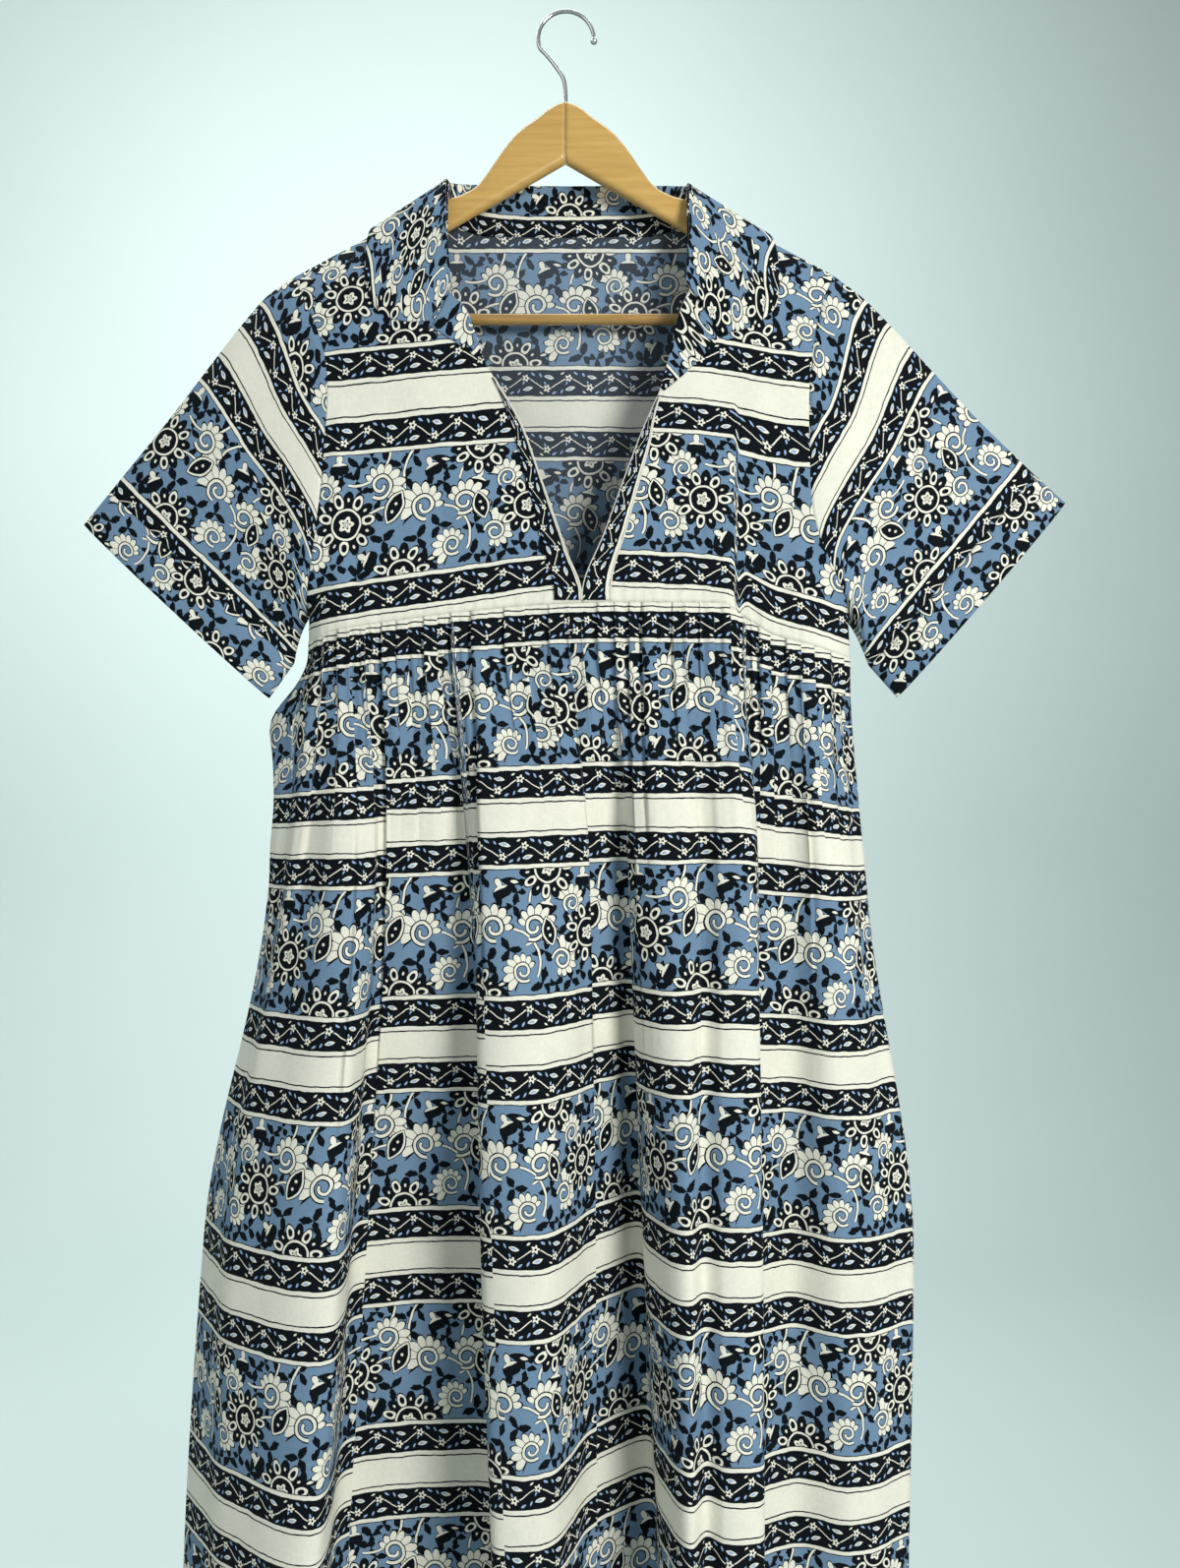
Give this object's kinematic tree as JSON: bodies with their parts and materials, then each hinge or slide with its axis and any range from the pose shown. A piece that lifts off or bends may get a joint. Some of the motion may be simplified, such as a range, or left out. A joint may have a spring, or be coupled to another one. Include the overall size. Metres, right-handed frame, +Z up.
{
  "type": "midi dress on a hanger",
  "caption": "Short-sleeved midi dress with a wide collar, a wrap V neck and a gathered skirt below a high waist, hanging on a wooden hanger with a wire hook.",
  "frame": {"origin": "the inside of the hook's top, where a rail or a peg carries it", "axes": "+Z up, the front of the dress faces -Y, +X to the right as seen from the front"},
  "size_m": [0.7774, 0.1526, 1.3452],
  "materials": {
    "printed_cotton": "matt woven cotton with a printed pattern",
    "navy_cotton": "matt woven cotton",
    "varnished_wood": "varnished",
    "brown_wood": "glossy varnish",
    "chrome": "polished"
  },
  "bodies": {
    "root": {"bodice_front_left": "printed_cotton", "bodice_front_right": "printed_cotton", "bodice_back": "printed_cotton", "collar": "printed_cotton", "lapel_left": "printed_cotton", "lapel_right": "printed_cotton", "sleeve_left": "printed_cotton", "sleeve_right": "printed_cotton", "sleeve_band_left": "printed_cotton", "sleeve_band_right": "printed_cotton", "skirt_front": "printed_cotton", "skirt_back": "printed_cotton", "placket_left": "navy_cotton", "placket_right": "navy_cotton", "hanger_arm_left": "varnished_wood", "hanger_arm_right": "varnished_wood", "hanger_bar": "brown_wood", "hook": "chrome"}
  },
  "joints": []
}
